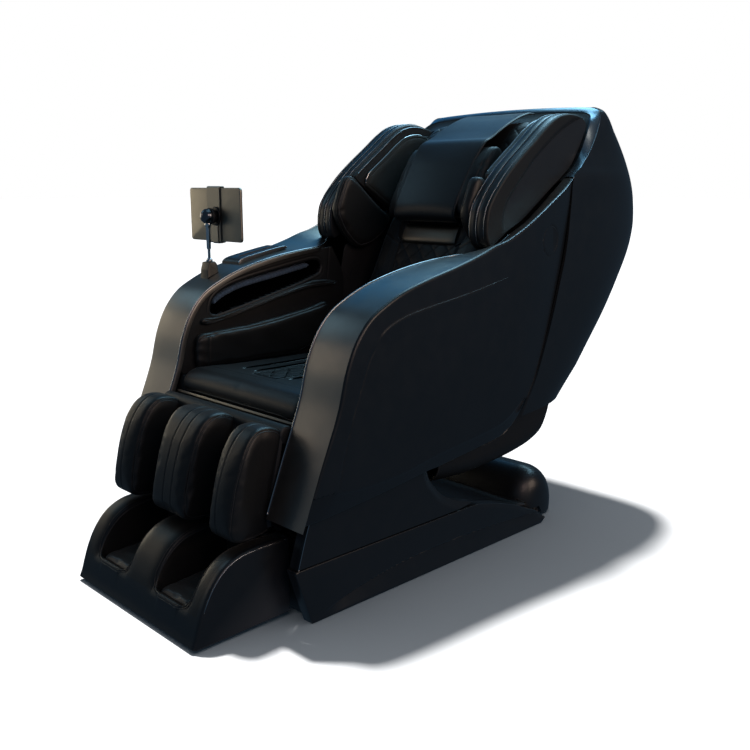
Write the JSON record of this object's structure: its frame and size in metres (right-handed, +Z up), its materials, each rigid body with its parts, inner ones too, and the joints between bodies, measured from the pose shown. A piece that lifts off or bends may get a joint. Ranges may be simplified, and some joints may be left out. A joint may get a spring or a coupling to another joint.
{
  "type": "massage chair",
  "caption": "Reclining massage chair with enclosed arms, padded leg and foot rest, shoulder wings, head pillow and a tablet on a stem.",
  "frame": {"origin": "on the floor under the middle of the base width, 484 mm behind the front edge of the base pan", "axes": "+Z up, the sitter faces -Y, +X is the sitter's left"},
  "size_m": [0.853, 1.669, 1.206],
  "materials": {
    "satin_shell": "satin moulded shell",
    "matte_plastic": "fine-textured moulding",
    "black_leather": "soft black leather with stitched seams",
    "airbag_fabric": "ribbed dark blue fabric",
    "speaker_mesh": "perforated mesh over foam",
    "champagne": "satin champagne",
    "chrome": "polished",
    "frame_paint": "dark grey powder coat",
    "bright_steel": "ground",
    "rail_alloy": "extruded",
    "tyre_rubber": "moulded rubber",
    "socket_plastic": "plain black"
  },
  "bodies": {
    "base": {"base_pan": "matte_plastic", "base_frame": "frame_paint", "skirt_left": "satin_shell", "skirt_right": "satin_shell", "base_front_cover": "matte_plastic", "rear_cover": "satin_shell", "slide_rails": "rail_alloy", "power_module": "matte_plastic", "air_pump": "matte_plastic", "power_inlet": "socket_plastic", "wheel_axles": "bright_steel", "slide_actuator": "frame_paint"},
    "rocker": {"power_rocker": "socket_plastic"},
    "left_wheel": {"wheel_left": "tyre_rubber"},
    "right_wheel": {"wheel_right": "tyre_rubber"},
    "carriage": {"carriage_frame": "frame_paint", "neck_cover_left": "satin_shell", "neck_cover_right": "satin_shell", "slide_rod": "bright_steel"},
    "tilt_tube": {"tilt_actuator": "frame_paint"},
    "tilt_ram": {"tilt_rod": "bright_steel"},
    "capsule": {"seat_frame": "frame_paint", "backrest_frame": "frame_paint", "massage_rails": "rail_alloy", "side_panel_left": "satin_shell", "side_panel_right": "satin_shell", "arm_liner_left": "matte_plastic", "arm_liner_right": "matte_plastic", "arm_pads": "black_leather", "hip_pads": "black_leather", "hand_airbags": "airbag_fabric", "back_shell": "satin_shell", "lower_fairing": "matte_plastic", "seat_cushion": "black_leather", "seat_front_plate": "champagne", "backrest_pad": "black_leather", "neck_pad": "black_leather", "wing_left": "satin_shell", "wing_right": "satin_shell", "shoulder_pads": "black_leather", "speaker_pads": "speaker_mesh", "pivot_caps": "satin_shell", "phone_pocket": "satin_shell", "tablet_holder": "champagne"},
    "leg_tube": {"leg_actuator": "frame_paint"},
    "leg_ram": {"leg_rod": "bright_steel"},
    "legrest": {"calf_frame": "frame_paint", "calf_tray": "matte_plastic", "calf_fin_left": "black_leather", "calf_fin_middle": "black_leather", "calf_fin_right": "black_leather"},
    "footrest": {"foot_housing": "satin_shell", "foot_pads": "black_leather", "foot_rods": "bright_steel"},
    "massage": {"massage_carriage": "matte_plastic"},
    "knead_l": {"kneader_left": "tyre_rubber"},
    "knead_r": {"kneader_right": "tyre_rubber"},
    "stem": {"tablet_stem": "chrome"},
    "screen": {"tablet": "champagne"},
    "pillow": {"head_pillow": "black_leather"}
  },
  "joints": [
    {"name": "recline", "type": "hinge", "parent": "carriage", "child": "capsule", "pos_m": [0, 0.05, 0.3], "axis": [-1, 0, 0], "range_deg": [0, 25]},
    {"name": "carriage_slide", "type": "slide", "parent": "base", "child": "carriage", "axis": [0, -1, 0], "range_m": [0, 0.15]},
    {"name": "tilt_actuator_swing", "type": "hinge", "parent": "carriage", "child": "tilt_tube", "pos_m": [0, -0.3, 0.118], "axis": [1, 0, 0], "range_deg": [0, 0.6]},
    {"name": "tilt_rod_extend", "type": "slide", "parent": "tilt_tube", "child": "tilt_ram", "axis": [0, 0.5198, 0.8543], "range_m": [0, 0.0907]},
    {"name": "legrest_lift", "type": "hinge", "parent": "capsule", "child": "legrest", "pos_m": [0, -0.497, 0.432], "axis": [-1, 0, 0], "range_deg": [0, 78]},
    {"name": "footrest_extend", "type": "slide", "parent": "legrest", "child": "footrest", "axis": [0, -0.2344, -0.9722], "range_m": [0, 0.15]},
    {"name": "legrest_actuator_swing", "type": "hinge", "parent": "capsule", "child": "leg_tube", "pos_m": [0.15, -0.315, 0.375], "axis": [-1, 0, 0], "range_deg": [0, 5.7]},
    {"name": "legrest_rod_extend", "type": "slide", "parent": "leg_tube", "child": "leg_ram", "axis": [0, -1, 0.0043], "range_m": [0, 0.0688]},
    {"name": "massage_travel", "type": "slide", "parent": "capsule", "child": "massage", "axis": [0, 0.5, 0.866], "range_m": [0, 0.29]},
    {"name": "knead_left", "type": "hinge", "parent": "massage", "child": "knead_l", "pos_m": [0, 0.34098, 0.73504], "axis": [1, 0, 0], "continuous": true},
    {"name": "knead_right", "type": "hinge", "parent": "massage", "child": "knead_r", "pos_m": [0, 0.34098, 0.73504], "axis": [1, 0, 0], "continuous": true},
    {"name": "tablet_swivel", "type": "hinge", "parent": "capsule", "child": "stem", "pos_m": [-0.33, -0.3, 0.76], "axis": [0, 0, 1], "range_deg": [-70, 70]},
    {"name": "tablet_tilt", "type": "hinge", "parent": "stem", "child": "screen", "pos_m": [-0.33, -0.3, 0.897], "axis": [1, 0, 0], "range_deg": [-10, 30]},
    {"name": "pillow_flip", "type": "hinge", "parent": "capsule", "child": "pillow", "pos_m": [0, 0.566, 1.202], "axis": [-1, 0, 0], "range_deg": [0, 110]},
    {"name": "power_switch", "type": "hinge", "parent": "base", "child": "rocker", "pos_m": [0.019, 0.515, 0.049], "axis": [1, 0, 0], "range_deg": [-6, 6]},
    {"name": "wheel_left_spin", "type": "hinge", "parent": "base", "child": "left_wheel", "pos_m": [0.275, 0.41, 0.04], "axis": [1, 0, 0], "continuous": true},
    {"name": "wheel_right_spin", "type": "hinge", "parent": "base", "child": "right_wheel", "pos_m": [-0.275, 0.41, 0.04], "axis": [1, 0, 0], "continuous": true}
  ],
  "couplings": [
    {"joint": "carriage_slide", "follows": "recline", "m_per_rad": 0.3437},
    {"joint": "tilt_actuator_swing", "follows": "recline", "ratio": 0.02153},
    {"joint": "tilt_rod_extend", "follows": "recline", "m_per_rad": 0.20762},
    {"joint": "footrest_extend", "follows": "legrest_lift", "m_per_rad": 0.11},
    {"joint": "legrest_actuator_swing", "follows": "legrest_lift", "ratio": 0.07143},
    {"joint": "legrest_rod_extend", "follows": "legrest_lift", "m_per_rad": 0.05039},
    {"joint": "knead_right", "follows": "knead_left", "ratio": 1}
  ]
}
